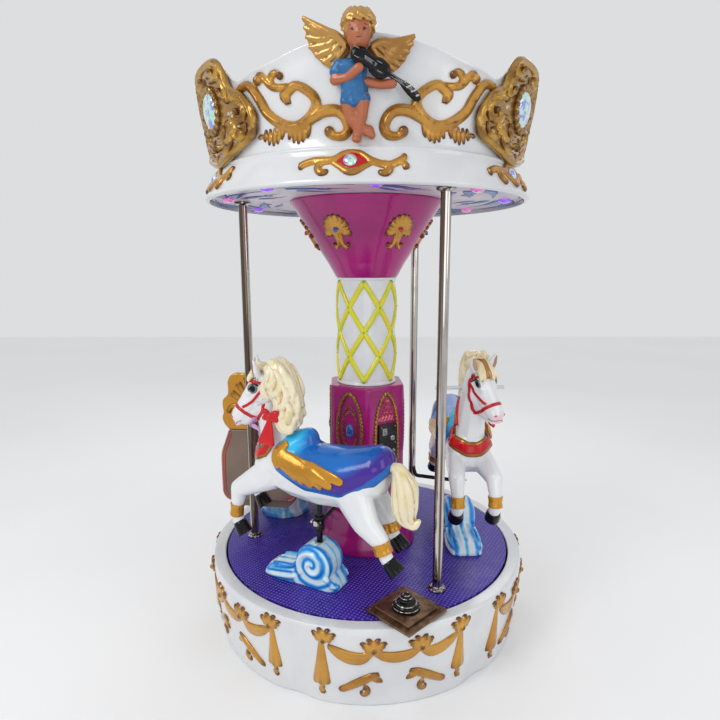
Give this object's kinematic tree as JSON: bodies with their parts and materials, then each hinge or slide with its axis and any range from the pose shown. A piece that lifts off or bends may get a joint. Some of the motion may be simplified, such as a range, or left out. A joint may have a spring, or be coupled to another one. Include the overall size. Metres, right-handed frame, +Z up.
{
  "type": "fairground carousel",
  "caption": "Small ride-on carousel: a fixed round base, a turning deck and canopy on a centre column and poles, two galloping horses on lifting rods, and a low carriage seat.",
  "frame": {"origin": "on the ground at the axis the carousel turns about", "axes": "+Z up; -Y towards the viewer of the picture, +X to the right"},
  "size_m": [1.2948, 1.3411, 2.1359],
  "materials": {
    "white_gelcoat": "glossy white gelcoat on fibreglass",
    "chassis_steel": "dark painted steel",
    "purple_deck": "glossy purple gelcoat with a fine anti-slip pattern",
    "magenta_gelcoat": "glossy magenta gelcoat",
    "black_paint": "semi-gloss black paint",
    "chrome_tube": "polished chromed tube",
    "ceiling_gelcoat": "pale gelcoat with painted blue scrolls",
    "gold_paint": "glossy gold paint on relief moulding",
    "cherub_paint": "hand-painted gelcoat figure",
    "bronze_plate": "brown bronze-coloured metal",
    "wave_paint": "glossy blue and white swirled paint",
    "saddle_paint": "glossy blue paint shading to purple",
    "mane_paint": "glossy cream paint on moulded hair",
    "cream_gelcoat": "glossy cream gelcoat"
  },
  "bodies": {
    "base": {"base_skirt": "white_gelcoat", "chassis": "chassis_steel"},
    "turntable": {"deck": "purple_deck", "column_foot": "magenta_gelcoat", "column_casing": "magenta_gelcoat", "column_trunk": "white_gelcoat", "column_head": "magenta_gelcoat", "coin_door": "black_paint", "pole_1": "chrome_tube", "pole_2": "chrome_tube", "pole_3": "chrome_tube", "canopy_ceiling": "ceiling_gelcoat", "crown_panel_1": "white_gelcoat", "crown_panel_2": "white_gelcoat", "crown_panel_3": "white_gelcoat", "crown_panel_4": "white_gelcoat", "crown_panel_5": "white_gelcoat", "crown_panel_6": "white_gelcoat", "cherub_1": "cherub_paint", "cherub_2": "cherub_paint", "cherub_3": "cherub_paint", "gem_crest_1": "gold_paint", "gem_crest_2": "gold_paint", "gem_crest_3": "gold_paint", "knob_plate": "bronze_plate", "knob_turret": "chrome_tube", "wave_pedestal_1": "wave_paint", "wave_pedestal_2": "wave_paint", "carriage_tub": "cream_gelcoat", "carriage_back": "cream_gelcoat", "carriage_crest": "gold_paint", "carriage_plinth": "wave_paint"},
    "horse_1": {"horse_1_body": "white_gelcoat", "horse_1_saddle": "saddle_paint", "horse_1_mane": "mane_paint", "horse_1_tail": "mane_paint", "horse_1_handle": "chrome_tube", "horse_1_lift_rod": "black_paint"},
    "horse_2": {"horse_2_body": "white_gelcoat", "horse_2_saddle": "saddle_paint", "horse_2_mane": "mane_paint", "horse_2_tail": "mane_paint", "horse_2_handle": "chrome_tube", "horse_2_lift_rod": "black_paint"}
  },
  "joints": [
    {"name": "turntable_spin", "type": "hinge", "parent": "base", "child": "turntable", "pos_m": [0, 0, 0], "axis": [0, 0, -1], "continuous": true},
    {"name": "horse_1_lift", "type": "slide", "parent": "turntable", "child": "horse_1", "axis": [0, 0, 1], "range_m": [-0.03, 0.06]},
    {"name": "horse_2_lift", "type": "slide", "parent": "turntable", "child": "horse_2", "axis": [0, 0, 1], "range_m": [-0.03, 0.06]}
  ]
}
